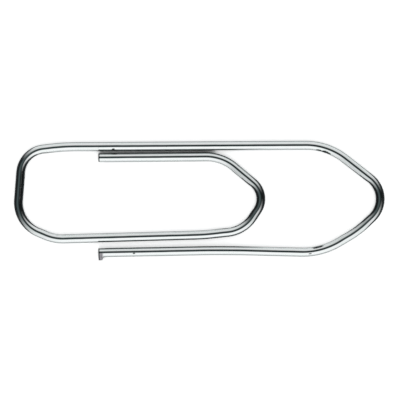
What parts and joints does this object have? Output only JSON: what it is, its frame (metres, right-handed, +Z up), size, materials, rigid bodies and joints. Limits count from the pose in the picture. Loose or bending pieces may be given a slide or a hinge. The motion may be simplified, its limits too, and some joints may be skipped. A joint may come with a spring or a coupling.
{
  "type": "paper clip",
  "caption": "Flat wire paper clip: a long outer loop with a pointed tip and a shorter tongue inside it, bent from round plated steel wire that springs at its turns to grip sheets.",
  "frame": {"origin": "on the surface that the clip lies on, under the middle of the clip's length and width", "axes": "+X along the clip from the end bar to the tips, +Y across the legs towards the top leg, +Z up, square to the clip"},
  "size_m": [0.05, 0.0161, 0.0012],
  "materials": {
    "plated_wire": "bright plated steel wire, smooth and glossy with faint drawing lines"
  },
  "bodies": {
    "outer_long_leg": {"outer_long_leg": "plated_wire"},
    "outer_free_leg": {"outer_free_leg": "plated_wire"},
    "tongue_long_leg": {"tongue_long_leg": "plated_wire"},
    "tongue_free_leg": {"tongue_free_leg": "plated_wire"}
  },
  "joints": [
    {"name": "end_bar_twist", "type": "hinge", "parent": "outer_long_leg", "child": "tongue_long_leg", "pos_m": [-0.02425, 0.00156, 0.0006], "axis": [-0.0785, -0.9969, 0], "range_deg": [0, 12], "stiffness_Nm_per_rad": 0.53},
    {"name": "tongue_tip_twist", "type": "hinge", "parent": "tongue_long_leg", "child": "tongue_free_leg", "pos_m": [0.0083, 0, 0.0006], "axis": [0, 1, 0], "range_deg": [0, 5.5], "stiffness_Nm_per_rad": 1.13},
    {"name": "outer_tip_twist", "type": "hinge", "parent": "outer_long_leg", "child": "outer_free_leg", "pos_m": [0.0244, 0, 0.0006], "axis": [0, 1, 0], "range_deg": [0, 7.5], "stiffness_Nm_per_rad": 0.83}
  ]
}
